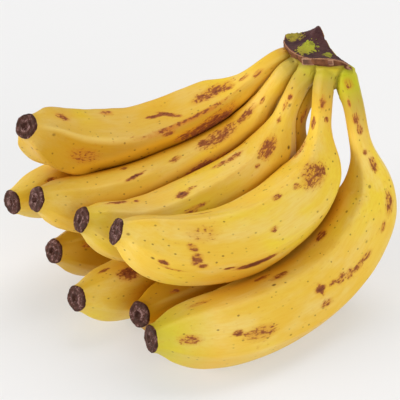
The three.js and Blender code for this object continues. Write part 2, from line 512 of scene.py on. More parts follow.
def skin_mesh(name, rings, number):
    """The finger as one closed net of quads, with the attributes that its shape and its material read."""
    line = LINES[name]
    scab, pit = blossom_end(rings)
    nets = np.concatenate([settled(rings), scab])
    points = np.concatenate([line.centres[:1], nets.reshape(-1, 3), [pit]])
    ring = np.minimum(np.arange(len(nets)), len(rings) - 1).repeat(SIDES)
    along = line.run[ring]
    arms = np.concatenate([rings, scab]).reshape(-1, 3) - line.centres[ring]
    above = dot(arms, line.up[ring])
    across = dot(arms, line.side[ring])
    skin = straightened(along, np.hypot(above, across), np.arctan2(across, above), number)
    ends = straightened(np.array([0, line.length]), np.zeros(2), np.zeros(2), number)
    gaps = gaps_round(rings, name)
    free = np.clip((np.minimum(gaps, rings[:, :, 2]) - TOUCHING) / (2 * MM), 0, 1)
    # painted shade on the peel where other fingers lie close, partly real amber skin where they press;
    # weaker towards the crown end
    pressed = np.clip(1 - (gaps - TOUCHING) / NEARBY, 0, 1)
    pressed *= np.clip(4 * line.run / line.length - 0.1, 0.15, 1)[:, None]
    scabbed = np.concatenate([np.zeros(len(rings) - 2), [0.1, 0.5], np.ones(len(scab))])
    worn = np.concatenate([np.zeros(len(rings)), [wear for _, _, wear in SCAB_PROFILE]])
    layers = {
        # [value at the middle of the crown end, values on the rings, value in the pit of the scab]
        "along": (0, along / line.length, 1),
        "scab": (0, scabbed.repeat(SIDES), 1),
        "worn": (0, worn.repeat(SIDES), 0),
        "free": (0, np.append(free, np.ones(len(scab) * SIDES)), 1),
        "pressed": (1, np.append(pressed, np.zeros(len(scab) * SIDES)), 0),
        "skin": (ends[0], skin, ends[1]),
    }
    last = 1 + (len(nets) - 1) * SIDES
    faces = []
    for side in range(SIDES):
        beside = (side + 1) % SIDES
        faces.append((0, 1 + beside, 1 + side))
        for low in range(1, last, SIDES):
            high = low + SIDES
            faces.append((low + side, low + beside, high + beside, high + side))
        faces.append((last + side, last + beside, len(points) - 1))
    mesh = bpy.data.meshes.new(name + "_peel")
    mesh.from_pydata([tuple(point) for point in points], [], faces)
    for label, (start, values, end) in layers.items():
        write(mesh, label, np.concatenate([[start], values, [end]]))
    return mesh


def geometry(tree, kind, inputs=(), **settings):
    return wire(tree, "GeometryNode" + kind, inputs, **settings)[0]


def field(tree, name, kind="FLOAT"):
    return geometry(tree, "InputNamedAttribute", {"Name": name}, data_type=kind)


def end_tree(tree, shape, material, result):
    """Ends a tree: the shape shaded smooth, made real, and given its material."""
    smooth = geometry(tree, "SetShadeSmooth", {"Geometry": shape})
    real = geometry(tree, "RealizeInstances", {"Geometry": smooth})
    clad = geometry(tree, "SetMaterial", {"Geometry": real, "Material": material})
    send({"Geometry": clad}, result)
    return tree


def growth_tree():
    """Refines a finger's net, raises its ridges, dents it softly and wrinkles its scab."""
    tree, given, result = new_group(
        "Grown finger",
        "Geometry Geometry, Refinement Int, Ridge Rise Float, Ridge Turn Float, Dent Depth Float, "
        "Dent Size Float, Wrinkle Depth Float, Peel Material", "Geometry Geometry", "GeometryNodeTree")
    fine = geometry(tree, "SubdivisionSurface", {"Mesh": given["Geometry"], "Level": given["Refinement"]})
    place = geometry(tree, "InputPosition")
    normal = geometry(tree, "InputNormal")
    skin = field(tree, "skin", "FLOAT_VECTOR")
    along = field(tree, "along")
    body = times(fade(along, BODY_FROM, 0.32), fade(along, 1.0, BODY_TO))
    split = follow("ShaderNodeSeparateXYZ", {0: skin})
    clock = minus(maths("ARCTAN2", split[2], split[1]), given["Ridge Turn"])
    faces_on = times(clock, FACES / (2 * math.pi))
    aside = maths("ABSOLUTE", minus(faces_on, maths("ROUND", faces_on)))
    crest = maths("POWER", scaled(aside, -2.0, 1.0), 2.0)
    waver = scaled(grain(skin, 34 * MM), 1.0, 0.5)
    ridge = times(crest, waver, given["Ridge Rise"], body)
    dent_scale = maths("DIVIDE", 1.0, given["Dent Size"])
    dents = follow("ShaderNodeTexNoise", {"Vector": skin, "Scale": dent_scale, "Detail": 2.0})[0]
    dents = times(scaled(dents, 2.0, -1.0), given["Dent Depth"], scaled(body, 0.7, 0.3))
    wrinkles = scaled(grain(place, 2.2 * MM, 3.0), 2.0, -1.0)
    wrinkles = times(wrinkles, given["Wrinkle Depth"], fade(field(tree, "scab"), 0.4, 1.0))
    rise = plus(times(plus(ridge, dents), field(tree, "free")), wrinkles)
    shifted = follow("ShaderNodeVectorMath", {0: normal, 3: rise}, operation="SCALE")[0]
    above = vector_maths("MAXIMUM", vector_maths("ADD", place, shifted), (-1.0, -1.0, 0.0))
    moved = geometry(tree, "SetPosition", {"Geometry": fine, "Position": above})
    return end_tree(tree, moved, given["Peel"], result)


def placed(name, data):
    """A new object in the scene that shows a mesh, a lamp or a camera."""
    thing = bpy.data.objects.new(name, data)
    bpy.context.scene.collection.objects.link(thing)
    return thing


def grown(mesh, tree, inputs):
    """The plain mesh that a Geometry Nodes tree makes of a mesh."""
    raw = placed(mesh.name, mesh)
    modifier = raw.modifiers.new("grow", "NODES")
    modifier.node_group = tree
    for socket in tree.interface.items_tree:
        if socket.in_out == "INPUT" and socket.name in inputs:
            modifier[socket.identifier] = inputs[socket.name]
    depsgraph = bpy.context.evaluated_depsgraph_get()
    evaluated = raw.evaluated_get(depsgraph)
    plain = bpy.data.meshes.new_from_object(evaluated, preserve_all_data_layers=True, depsgraph=depsgraph)
    bpy.data.objects.remove(raw)
    return plain


def off(clock, turn):
    """Angles round a finger counted from a turn, from minus pi to pi."""
    return (clock - turn + math.pi) % (2 * math.pi) - math.pi


def turned(x, y, degrees):
    """Coordinates on axes that are turned by an angle."""
    turn = math.radians(degrees)
    return x * math.cos(turn) + y * math.sin(turn), y * math.cos(turn) - x * math.sin(turn)


def marked_at(name, along, clock, radius):
    """How much the peel is marked at each place on a finger: the strongest of the finger's marks there."""
    length = LINES[name].length
    marked = np.full(len(along), UNMARKED)
    for share, turn, long_way, wide_way, strength, *slant in MARKS[name]:
        ahead = along - share * length
        across = off(clock, math.radians(turn)) * radius
        u, v = turned(ahead, across, slant[0] if slant else 0)
        away = np.hypot(u / (long_way * MM * SMEAR / 2), v / (wide_way * MM / 2))
        marked = np.maximum(marked, strength * np.clip(1.6 - away, 0, 1))
    return marked


def green_at(name, along):
    """How green a finger is at a length from its crown end."""
    strength, reach = FINGERS[name][:2]
    return strength * np.clip(1.25 - along / (reach * MM), 0, 1)


def neck_shade_at(share):
    """How much painted shade darkens the skin near the crown, by the share of the length from there."""
    return NECK_SHADE * np.clip(1 - share / 0.2, 0, 1)


def paint(mesh, name):
    """Writes where the peel is marked, green, tender and ridged, how much more ripe it is, painted shade on
    the lower row, below the ridge and near the crown, and a painted highlight on the ridge, for its material
    to read.
    """
    tender, turn, _, browned, riper, shade_below_ridge = FINGERS[name][2:]
    skin = read(mesh, "skin", 3).astype(float)
    share = read(mesh, "along")
    along = share * LINES[name].length
    clock = np.arctan2(skin[:, 2], skin[:, 1])
    body = np.clip((share - BODY_FROM) / 0.15, 0, 1) * np.clip((1 - share) / (1 - BODY_TO), 0, 1)
    turn = math.radians(turn)
    aside = off(clock, turn)
    on_line = np.clip((crest_at(clock, turn) - 0.8) / 0.16, 0, 1) * (np.abs(aside) < math.pi / FACES) * body
    # Towards the tip the ridge line is no longer browned but carries a painted highlight
    blossom_half = np.clip((share - 0.5) / 0.2, 0, 1)
    ridge = browned * on_line * (1 - 0.9 * blossom_half)
    # Painted shade: the face below the ridge is laid darker gold on some fingers
    underside = np.clip(-aside / 0.12, 0, 1) * np.clip((aside + 2) / 0.5, 0, 1) * body
    riper = riper * np.clip(0.3 + 2 * share, 0, 1) + shade_below_ridge * underside
    marked = marked_at(name, along, clock, np.hypot(skin[:, 1], skin[:, 2]))
    layers = {
        "green": green_at(name, along),
        "tip": tender * np.clip((share - TENDER_FROM) / 0.1, 0, 1),
        "ridge": ridge,
        "marked": np.maximum(marked, RIDGE_MARK * ridge),
        "polished": browned * on_line * blossom_half,
        "riper": np.clip(riper + neck_shade_at(share), 0, 1),
    }
    for label, values in layers.items():
        write(mesh, label, values)


# Each finger: [how green it is at the crown, for how many mm, how tender its tip is, the angle round it of
# its browned ridge, how high its ridges stand in mm, how brown that one is and how strong the painted
# highlight on it is towards the tip, how much more ripe the finger is than the others, with painted shade on
# the lower row, how much painted shade darkens its colour below that ridge]
FINGERS = {
    "banana_upper_1": [0.25, 12, 0.05, -62, 2.9, 0.95, 0.38, 0.28],
    "banana_upper_2": [0.55, 14, 0.1, -35, 1.2, 0.3, 0.15, 0.1],
    "banana_upper_3": [0.6, 15, 0.2, -30, 1.3, 0.3, 0.2, 0.15],
    "banana_upper_4": [0.6, 13, 0.08, -12, 1.7, 0.35, 0.1, 0.0],
    "banana_lower_1": [0.4, 18, 0.15, -40, 1.0, 0.2, 0.0, 0.3],
    "banana_lower_2": [0.5, 18, 0.1, -40, 1.1, 0.4, 0.6, 0.3],
    "banana_lower_3": [0.6, 18, 0.2, -30, 1.2, 0.4, 0.05, 0.1],
    "banana_lower_4": [0.7, 20, 0.1, -30, 1.1, 0.4, 1.0, 0.3],
    "banana_lower_5": [0.75, 22, 0.75, -25, 1.5, 0.25, 0.0, 0.05],
}
# Marks: [share of the length from the crown, angle round the finger, length and width in mm, strength, and
# slant if any]. A strength of 1 is a solid bruise, 0.6 a cluster of flecks, and 0.35 a reddish bloom.
MARKS = {
    "banana_upper_1": [
        [0.29, -24, 20, 6, 0.66, -6], [0.225, -32, 6, 3, 0.62], [0.452, -34, 11, 2.4, 0.78, 32],
        [0.5, -25, 9, 2.0, 0.78, 8], [0.89, -14, 8, 3.5, 0.64, 10], [0.68, 1, 7, 2.5, 0.58],
        [0.79, -95, 20, 9, 0.44], [0.345, -93, 26, 8, 0.72], [0.42, -88, 14, 5, 0.62],
        [0.48, -69, 6, 2, 0.65], [0.13, -60, 5, 2.5, 0.62], [0.17, -32, 5, 2, 0.55],
        [0.05, -20, 6, 8, 0.34], [0.4, 120, 12, 5, 0.62, 5], [0.62, 165, 9, 4, 0.6], [0.8, 70, 7, 3, 0.6],
    ],
    "banana_upper_2": [
        [0.23, -32, 12, 4, 0.6], [0.36, -32, 24, 7, 0.62], [0.42, -28, 6, 4, 0.72],
        [0.528, -30, 6, 3, 0.64], [0.683, -31, 10, 2, 0.85, -8], [0.7, -5, 4, 2, 0.62],
        [0.162, -50, 4, 2, 0.55], [0.47, -68, 16, 6, 0.7], [0.39, -74, 12, 5, 0.6], [0.5, 130, 9, 4, 0.62],
        [0.3, 95, 12, 4, 0.6], [0.85, 60, 6, 3, 0.6],
    ],
    "banana_upper_3": [
        [0.287, -44, 11, 7, 0.66], [0.358, -48, 3, 2, 0.62], [0.647, -19, 6, 4, 0.8],
        [0.61, -15, 6, 2, 0.55], [0.9, 10, 10, 4, 0.68], [0.82, 4, 5, 2.5, 0.64],
        [0.63, -51, 12, 2.5, 0.55], [0.665, -56, 10, 2.5, 0.6], [0.105, -39, 3, 2.2, 0.74],
        # The marks at 0.46 and 0.4 of the length on top, under the finger above, are red-brown peel with
        # painted shade in them
        [0.139, -34, 5, 3, 0.48], [0.19, -34, 3, 2, 0.6], [0.46, 4, 10, 3, 0.6], [0.4, 2, 12, 3.4, 0.66],
        [0.4, 120, 10, 5, 0.6], [0.7, 90, 8, 3, 0.62],
    ],
    "banana_upper_4": [
        [0.335, -32, 17, 11, 0.58], [0.31, -38, 9, 6, 0.66], [0.496, -18, 5, 2.5, 0.64],
        [0.777, -36, 16, 10, 0.34], [0.81, -60, 5, 4, 0.56, 20], [0.798, -78, 5, 5, 0.62, -20],
        [0.782, -88, 4, 2.5, 0.72], [0.622, -106, 14, 4.6, 1.0], [0.85, -104, 10, 1.6, 0.58],
        [0.745, 20, 8, 1.8, 0.68], [0.71, 26, 5, 1.6, 0.64], [0.417, -23, 4, 3, 0.62],
        [0.7, -99, 4, 2, 0.88], [0.877, -94, 3.5, 2.5, 0.9], [0.149, 19, 5, 3, 0.7],
        [0.082, -31, 6, 3.5, 0.52], [0.138, -58, 3, 2.5, 0.58], [0.24, 50, 10, 3, 0.55],
        [0.559, -59, 4, 2.5, 0.6], [0.45, 140, 12, 5, 0.62], [0.7, 80, 7, 3, 0.6],
    ],
    "banana_lower_1": [
        [0.9, -35, 5, 3, 0.6], [0.45, 60, 12, 5, 0.62], [0.6, 110, 9, 4, 0.64, 10], [0.3, 90, 14, 5, 0.6],
        [0.75, 30, 8, 3, 0.6],
    ],
    "banana_lower_2": [
        [0.93, -60, 6, 3, 0.6], [0.4, 100, 14, 6, 0.62], [0.65, 70, 9, 4, 0.64], [0.8, 120, 7, 3, 0.6],
        [0.25, 60, 9, 4, 0.62],
    ],
    "banana_lower_3": [
        [0.87, -28, 12, 7, 0.76], [0.914, 13, 6, 3, 0.64], [0.5, 170, 9, 4, 0.6],
    ],
    "banana_lower_4": [
        [0.908, -17, 6, 3, 0.58], [0.15, -65, 8, 3, 0.55], [0.55, -150, 9, 4, 0.6], [0.4, 60, 10, 5, 0.6],
    ],
    "banana_lower_5": [
        [0.454, 7, 8, 5, 0.68], [0.7, 12, 7, 3, 0.66], [0.665, -6, 9, 4, 0.66], [0.89, 12, 10, 4, 0.47],
        [0.425, -74, 7, 3, 0.6, 10], [0.46, -73, 6, 3, 0.6], [0.49, -69, 6, 4, 0.58, -15],
        [0.52, -64, 7, 4, 0.6, -15], [0.55, -60, 5, 2.5, 0.58], [0.595, -56, 6, 3, 0.88],
        [0.595, -56, 3, 6, 0.74], [0.595, -79, 7, 3, 0.58], [0.777, -74, 13, 7, 0.5],
        [0.81, -70, 3, 2, 0.62], [0.828, -65, 4, 3, 0.68], [0.931, -69, 9, 5, 0.53],
        [0.294, -82, 9, 4, 0.62], [0.344, -78, 5, 2.5, 0.58], [0.06, -20, 3, 2, 0.6],
        [0.094, -37, 4, 3.5, 0.58], [0.117, -50, 4, 3, 0.64], [0.206, -68, 6, 4, 0.62],
        [0.172, -50, 3, 2.5, 0.58], [0.02, -50, 5, 5, 0.5], [0.35, 110, 14, 6, 0.62],
        [0.55, 90, 9, 5, 0.64], [0.75, 130, 10, 4, 0.62],
    ],
}
LINES = {}
RINGS = {}
SURFACES = {}
GROWTH = growth_tree()


def make_finger(node_name, number):
    net = skin_mesh(node_name, RINGS[node_name], number)
    turn, rise = FINGERS[node_name][3:5]
    mesh = grown(net, GROWTH, {
        "Refinement": REFINEMENT, "Ridge Rise": rise * MM, "Ridge Turn": math.radians(turn),
        "Dent Depth": DENT_DEPTH, "Dent Size": DENT_SIZE, "Wrinkle Depth": WRINKLE_DEPTH, "Peel": PEEL,
    })
    paint(mesh, node_name)
    piece = placed(node_name + "_peel", mesh)
    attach(piece, "root")
    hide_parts(node_name)


for finger_name in FINGERS:
    finger_shape = welded(finger_name)
    SURFACES[finger_name] = BVHTree.FromBMesh(finger_shape)
    finger_shape.free()
    RINGS[finger_name] = rings_of(finger_name)
    LINES[finger_name] = Line(RINGS[finger_name])
for finger_number, finger_name in enumerate(FINGERS):
    make_finger(finger_name, finger_number)


# ---- Crown ----
# The cut piece of stalk that holds the hand together. Below, it is the fleshy web that the necks grow from;
# above, it is a hollow knife cut that has dried aubergine brown, with scraps of green skin left in it.

CUT_BLACK = (0.036, 0.010, 0.016, 1)
CUT_PURPLE = (0.070, 0.024, 0.026, 1)
CUT_FIBRE = (0.13, 0.06, 0.06, 1)
CUT_RIM = (0.24, 0.085, 0.05, 1)
SCRAP_OLIVE = (0.27, 0.20, 0.022, 1)
SCRAP_LIME = (0.36, 0.38, 0.018, 1)
SCRAP_DRIED = (0.12, 0.10, 0.018, 1)
SHADED_SKIN = (0.13, 0.10, 0.02, 1)
CORK_DARK = (0.080, 0.028, 0.014, 1)
CORK_BROWN = (0.175, 0.065, 0.030, 1)
CORK_WORN = (0.40, 0.21, 0.12, 1)
CROWN_GLOSS = 0.25
CROWN_RELIEF = 0.3 * MM
CUT_ROUGHNESS = 0.62

VOXEL = 0.45 * MM
WEB_REACH = 20 * MM  # how far down each neck the web runs
WEB_TUCK = 0.35 * MM  # how far below the neck's skin it ends
WEB_SWELL = {"banana_upper_4": 1.3, "banana_lower_5": 1.3}  # mm by which the web fattens a neck
SLIGHT_SWELL = 0.5
WEB_LIFT = {"banana_upper_2": 1.6, "banana_upper_3": 2.6}  # mm by which a neck's top rises to the scar
SMOOTHING = 6  # passes that round the web between the necks
RIM_HELD = 1.5 * MM  # how near the rim the web is hardly rounded
RIM_EASING = 4 * MM
CUT_SLOPE = 0.6  # a crown face steeper than this is a wall, and not part of the cut
NECK = 5.4 * MM
GROOVE_WIDTH = 2.3 * MM
GROOVE_DEPTH = 1.5
LUMP_SIZE = 4.5 * MM
LUMP_RISE = 0.35  # mm by which the lumps stand up on the cut
SCRAP_RISE = 0.3  # mm by which a scrap of skin stands up on the cut
SCAR_RISE = 0.15
RIM_WEAR = 0.8 * MM
HEM_HEIGHT = 11 * MM  # how far up from its lower rim the crown's wall is drawn in on to the necks
HEM_TUCK = 0.15 * MM
HEM_PULL = 0.92
HEM_SMOOTHING = 10
HEM_PROUD = 1.2 * MM  # how far off the necks the wall is drawn in fully
FRONT = Vector((-0.77, -0.62, 0))
SUNNY = np.array((0.75, 0.66))  # the way across the cut in which its scraps of skin are freshest
SCAR_WIDTH = 4.6 * MM  # of the bract's scar, which runs round the front under the cut face
SCAR_SHADE = 2.4 * MM
SCAR_END = 75 * MM  # where the scar has tapered away, in x
SCAR_TAPER = 12 * MM
SCRAPS = [
    # [middle of a scrap of green skin on the cut, x and y in mm, its half-widths in mm, turn, greenness]
    (47.5, 56.0, 3.6, 6.0, 35, 0.15),
    (53.0, 37.8, 6.6, 4.4, 60, 1.0),
    (63.2, 33.4, 2.8, 2.6, 20, 1.0),
]


def shell_of_crown():
    """The CAD crown and the fattened tops of the necks, as overlapping closed shells."""
    shell = welded("crown")
    for name, rings in RINGS.items():
        line = LINES[name]
        last = int(np.searchsorted(line.run, WEB_REACH))
        loops = []
        for ring in range(last + 1):
            share = min(1.0, line.run[ring] / WEB_REACH)
            swell = WEB_SWELL.get(name, SLIGHT_SWELL) * MM * (1 - share) ** 2 - WEB_TUCK * share
            arms = rings[ring] - line.centres[ring]
            arms *= 1 + swell / np.linalg.norm(arms, axis=1)[:, None]
            arms[:, 2] += WEB_LIFT.get(name, 0) * MM * (1 - share) ** 2
            loops.append([shell.verts.new(point) for point in line.centres[ring] + arms])
        for near, far in zip(loops, loops[1:]):
            for side in range(SIDES):
                beside = (side + 1) % SIDES
                shell.faces.new((near[side], near[beside], far[beside], far[side]))
        shell.faces.new(loops[0][::-1])
        shell.faces.new(loops[-1])
    bmesh.ops.triangulate(shell, faces=shell.faces)
    shell.normal_update()
    return shell


def fused(shell):
    """The shells as one skin of even quads."""
    mesh = bpy.data.meshes.new("crown_body")
    shell.to_mesh(mesh)
    shell.free()
    raw = placed("crown_shells", mesh)
    remesh = raw.modifiers.new("fuse", "REMESH")
    remesh.mode = "VOXEL"
    remesh.voxel_size = VOXEL
    mesh = bpy.data.meshes.new_from_object(raw.evaluated_get(bpy.context.evaluated_depsgraph_get()))
    bpy.data.objects.remove(raw)
    mesh.name = "crown_body"
    mesh.materials.clear()
    mesh.polygons.foreach_set("use_smooth", np.ones(len(mesh.polygons), bool))
    return mesh


class CutFace:
    """The knife cut on top of the CAD crown: its faces and its rim, front and rear."""

    def __init__(self):
        crown = welded("crown")
        low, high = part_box("crown")
        floor = low.z + 0.4 * (high.z - low.z)
        is_cut = {
            face: face.normal.z > CUT_SLOPE and face.calc_center_median().z > floor for face in crown.faces
        }
        shared = [edge for edge in crown.edges if len(edge.link_faces) == 2]
        rim = [edge for edge in shared if is_cut[edge.link_faces[0]] != is_cut[edge.link_faces[1]]]
        walls = [next(face for face in edge.link_faces if not is_cut[face]) for edge in rim]
        self.starts = np.array([edge.verts[0].co for edge in rim])
        self.spans = np.array([edge.verts[1].co - edge.verts[0].co for edge in rim])
        self.is_front = np.array([wall.normal.dot(FRONT) > 0.1 for wall in walls])
        self.surface = BVHTree.FromBMesh(crown)
        self.cut_faces = np.array([is_cut[face] for face in crown.faces], float)
        crown.free()

    def rim_distance(self, point, rim):
        starts, spans = self.starts[rim], self.spans[rim]
        share = np.clip(dot(point - starts, spans) / dot(spans, spans), 0, 1)
        return np.linalg.norm(starts + spans * share[:, None] - point, axis=1).min()

    def survey(self, points):
        """For each point: whether it is on the cut, and how far it is from the front and the rear rim."""
        cut = np.array([self.cut_faces[self.surface.find_nearest(Vector(point))[2]] for point in points])
        front = np.array([self.rim_distance(point, self.is_front) for point in points])
        rear = np.array([self.rim_distance(point, ~self.is_front) for point in points])
        return cut, front, rear


def eased(mesh, values, share, passes):
    """The values, each moved a share of the way to the mean of its neighbours, some times over."""
    edges = np.zeros(len(mesh.edges) * 2, np.int32)
    mesh.edges.foreach_get("vertices", edges)
    one, other = edges.reshape(-1, 2).T
    around = np.bincount(edges, minlength=len(values)).astype(float)
    if values.ndim == 2:
        around = around[:, None]
    for _ in range(passes):
        total = np.zeros_like(values)
        np.add.at(total, one, values[other])
        np.add.at(total, other, values[one])
        values = values + share * (total / around - values)
    return values


def tapered(mesh, points):
    """The points, with the crown's lower rim drawn in on to the necks behind the scar."""
    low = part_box("crown")[0].z
    share = np.clip((low + HEM_HEIGHT - points[:, 2]) / HEM_HEIGHT, 0, 1)
    drawn = points.copy()
    for number in np.nonzero(share)[0]:
        hits = [shape.find_nearest(Vector(points[number])) for shape in SURFACES.values()]
        spot, normal = min(hits, key=lambda hit: hit[3])[:2]
        drawn[number] = np.array(spot + normal * HEM_TUCK)
    away = np.linalg.norm(drawn - points, axis=1)
    proud = np.clip(away / HEM_PROUD, 0, 1)
    points = points + (drawn - points) * (HEM_PULL * share * proud)[:, None]
    return points + (eased(mesh, points, 0.6, HEM_SMOOTHING) - points) * (share * proud)[:, None]


def scraps_at(points):
    """How much green skin is left at each point of the cut, and how green it is."""
    left = np.zeros(len(points))
    greenness = np.zeros(len(points))
    torn = np.array([noise.fractal(Vector(point) / (1.7 * MM), 0.6, 2.2, 3) for point in points])
    for x, y, long_way, wide_way, turn, tone in SCRAPS:
        away = points[:, :2] / MM - (x, y)
        u, v = turned(*away.T, turn)
        level = np.clip(1.5 - np.hypot(u / long_way, v / wide_way) + 0.6 * torn, 0, 1)
        fresh = tone * np.clip(0.7 + (away @ SUNNY) / long_way * 0.5, 0.1, 1)
        greenness = np.where(level > left, fresh, greenness)
        left = np.maximum(left, level)
    return left, greenness


def nearest_neck(points):
    """The peel's layers at each point, from the finger whose neck is nearest, and how far into the groove
    between that neck and the next one it lies."""
    best = np.full(len(points), np.inf)
    second = best.copy()
    layers = {"skin": np.zeros((len(points), 3))}
    layers |= {label: np.zeros(len(points)) for label in ("marked", "green", "riper")}
    for number, (name, line) in enumerate(LINES.items()):
        along, radius, clock = line.lay(points)
        away = radius + np.maximum(-along, 0)
        closer = away < best
        second = np.where(closer, best, np.minimum(second, away))
        best = np.where(closer, away, best)
        here = {
            "skin": straightened(along, radius, clock, number),
            "marked": marked_at(name, along, clock, radius),
            "green": green_at(name, along),
            # more ripe peel, and painted shade near the crown
            "riper": 0.3 * FINGERS[name][6] + neck_shade_at(along / line.length),
        }
        for label, values in here.items():
            layers[label][closer] = values[closer]
    # painted shade between a neck and the next one
    layers["pressed"] = 0.2 * np.clip(1 - (np.maximum(second - NECK, 0) - TOUCHING) / NEARBY, 0, 1)
    layers["groove"] = np.clip(1 - (second - best) / GROOVE_WIDTH, 0, 1)
    return layers


def scar_taper(points):
    """How much of its full width the bract's scar has left, towards the front end of the crown."""
    return np.clip((SCAR_END - points[:, 0]) / SCAR_TAPER, 0, 1)


def corky_group():
    """Corky scar tissue, reddish brown and paler where Worn is high."""
    tree, given, result = new_group("Corky scar", "Place Vector, Worn Float", LOOK)
    patches = grain(given["Place"], 3.5 * MM, 3.0, 0.6)
    cracks = grain(given["Place"], 0.7 * MM, 3.0, 0.65)
    worn = times(fade(given["Worn"], 0.2, 0.8), fade(cracks, 0.25, 0.5))
    colour = layered(CORK_DARK, (fade(patches, 0.35, 0.65), CORK_BROWN), (times(worn, 0.8), CORK_WORN))
    rough = scaled(cracks, 0.25, 0.55)
    send({"Colour": colour, "Roughness": rough, "Height": scaled(cracks, 0.6, patches)}, result)
    return tree


def crown_material():
    """Green skin below the rim, the bract's corky scar along it, and the dried cut with its scraps."""
    material, tree, shader, place = new_material("cut_crown")
    worn = attribute(tree, "worn")
    skin = peel_on(tree, place, "green", "marked", "pressed", "riper")
    scar = place_group(CORKY, {"Place": place, "Worn": worn})
    # Painted shade: darker skin in the grooves between the necks and in a band under the bract's scar
    groove_shade = times(attribute(tree, "groove"), 0.6)
    shaded = times(maths("MAXIMUM", attribute(tree, "scar_shadow"), groove_shade), 0.65)
    ragged = minus(grain(place, 1.3 * MM, 4.0, 0.65), 0.5)
    dried = grain(place, 5 * MM, 3.0)
    fibres = grain(place, 0.6 * MM)
    scrap = layered(SCRAP_OLIVE, (attribute(tree, "greenness"), SCRAP_LIME),
                    (fade(dried, 0.45, 0.65, 0, 0.7), SCRAP_DRIED))
    cut = layered(
        CUT_BLACK,
        (fade(dried, 0.35, 0.65), CUT_PURPLE),
        (fade(fibres, 0.5, 0.75, 0, 0.2), CUT_FIBRE),
        (times(fade(worn, 0.45, 1.0), 0.7), CUT_RIM),
        (fade(scaled(ragged, 1.1, attribute(tree, "scrap")), 0.5, 0.6), scrap),
    )
    is_scar = fade(scaled(ragged, 0.35, attribute(tree, "scar")), 0.42, 0.58)
    is_cut = fade(scaled(ragged, 0.3, attribute(tree, "cut")), 0.4, 0.6)
    colour = layered(skin["Colour"], (shaded, SHADED_SKIN), (is_scar, scar["Colour"]), (is_cut, cut))
    rough = between(is_scar, skin["Roughness"], scar["Roughness"])
    rough = between(is_cut, rough, CUT_ROUGHNESS)
    height = between(is_scar, skin["Height"], scar["Height"])
    height = between(is_cut, height, plus(dried, fibres))
    dress(shader, colour, rough, height, 0.6, CROWN_RELIEF)
    shader["Specular IOR Level"].default_value = CROWN_GLOSS
    shader["Specular Tint"].default_value = WAXY_SHEEN
    return material


def vertex_vectors(mesh, kind):
    """The places or the normals of a mesh's vertices, one to a row."""
    values = np.zeros(len(mesh.vertices) * 3)
    mesh.vertices.foreach_get(kind, values)
    return values.reshape(-1, 3)


def put(mesh, points):
    mesh.vertices.foreach_set("co", points.reshape(-1))
    mesh.update()


def make_crown():
    mesh = fused(shell_of_crown())
    points = vertex_vectors(mesh, "co")
    cut, from_front, from_rear = CUT_FACE.survey(points)
    from_rim = np.minimum(from_front, from_rear)
    loose = np.where(cut > 0, 0.15, np.clip((from_rim - RIM_HELD) / RIM_EASING, 0.12, 1))[:, None]
    points = points + (eased(mesh, points, 0.6, SMOOTHING) - points) * loose
    points = tapered(mesh, points)
    cut = eased(mesh, cut, 0.5, 2)
    scrap, greenness = scraps_at(points)
    scar_width = SCAR_WIDTH * scar_taper(points)
    scar = (1 - cut) * np.clip((scar_width - from_front) / (0.8 * MM) + 0.5, 0, 1)
    # Painted shadow in a band under the scar
    scar_shadow = (scar_width > 0) * np.clip(1 - (from_front - scar_width) / SCAR_SHADE, 0, 1)
    lumps = np.array([noise.fractal(Vector(point) / LUMP_SIZE, 0.8, 2.1, 4) for point in points])
    put(mesh, points)
    layers = nearest_neck(points)
    rise = cut * (LUMP_RISE * lumps + SCRAP_RISE * np.clip(scrap * 3 - 1, 0, 1)) + scar * SCAR_RISE * lumps
    rise -= GROOVE_DEPTH * (1 - cut) * (1 - scar) * layers["groove"]
    put(mesh, points + vertex_vectors(mesh, "normal") * (rise * MM)[:, None])
    layers |= {
        "cut": cut, "scar": scar, "scrap": scrap, "greenness": greenness, "scar_shadow": scar_shadow,
        "worn": np.clip(1.3 - from_rim / RIM_WEAR, 0, 1),
    }
    for label, values in layers.items():
        write(mesh, label, values)
    mesh.materials.append(crown_material())
    piece = placed("crown_body", mesh)
    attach(piece, "root")
    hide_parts("crown")


CUT_FACE = CutFace()
CORKY = corky_group()
make_crown()


# ---- Bract scar ----
# Flat corky scales along the front rim of the crown. They are what was left when the leaf-like bract that
# wrapped the young hand broke off and the wound healed over.

SCALES_FROM = 51 * MM
SCALES_TO = 62.5 * MM
SCALE_SPACING = 6.6 * MM
SCALE_SIZE = Vector((6.3, 3.2, 1.2)) * MM
SCALE_UNEVENNESS = 0.12
SCALE_SEED = 4
SCALE_ROUGHNESS = 0.5 * MM
SCALE_RELIEF = 0.2 * MM
SCALE_TUCK = 0.4 * MM  # how far inside the rim the middle of a scale lies
RIM_STEP = 1.2 * MM
ALONG_RIM = np.array((0.74, -0.67, 0))
UPWARD = np.array((0, 0, 1.0))


